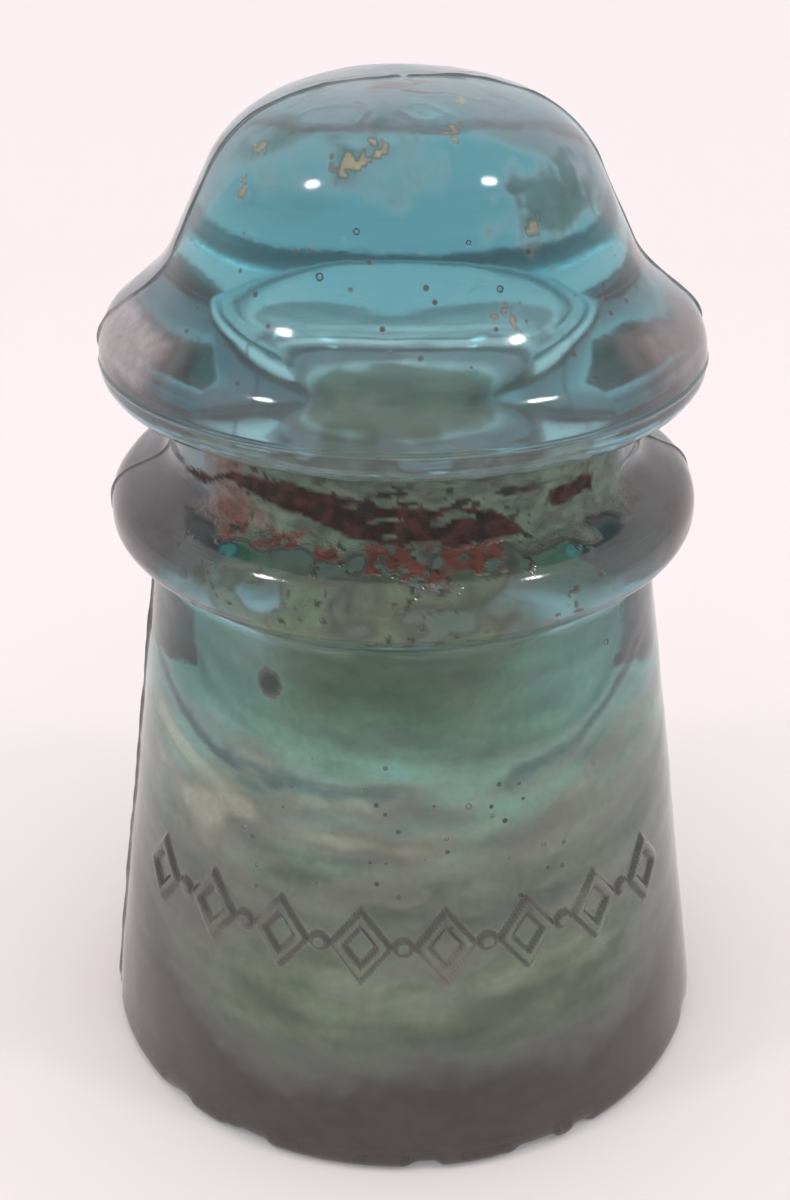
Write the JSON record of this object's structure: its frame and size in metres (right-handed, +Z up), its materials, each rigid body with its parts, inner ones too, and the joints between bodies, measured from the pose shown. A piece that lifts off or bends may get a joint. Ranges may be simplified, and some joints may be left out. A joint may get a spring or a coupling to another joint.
{
  "type": "glass insulator",
  "caption": "Bell-shaped pressed-glass pin insulator with a domed head, flange, wire groove, ridge, flared skirt and a threaded pinhole.",
  "frame": {"origin": "centre of the base rim, on the plane the rim stands on", "axes": "+Z up along the axis of the glass, from the base rim to the dome; the mould seams lie 6 degrees from the X axis"},
  "size_m": [0.0572, 0.057, 0.0891],
  "materials": {
    "aqua_glass": "gloss"
  },
  "bodies": {
    "root": {"glass_body": "aqua_glass"}
  },
  "joints": []
}
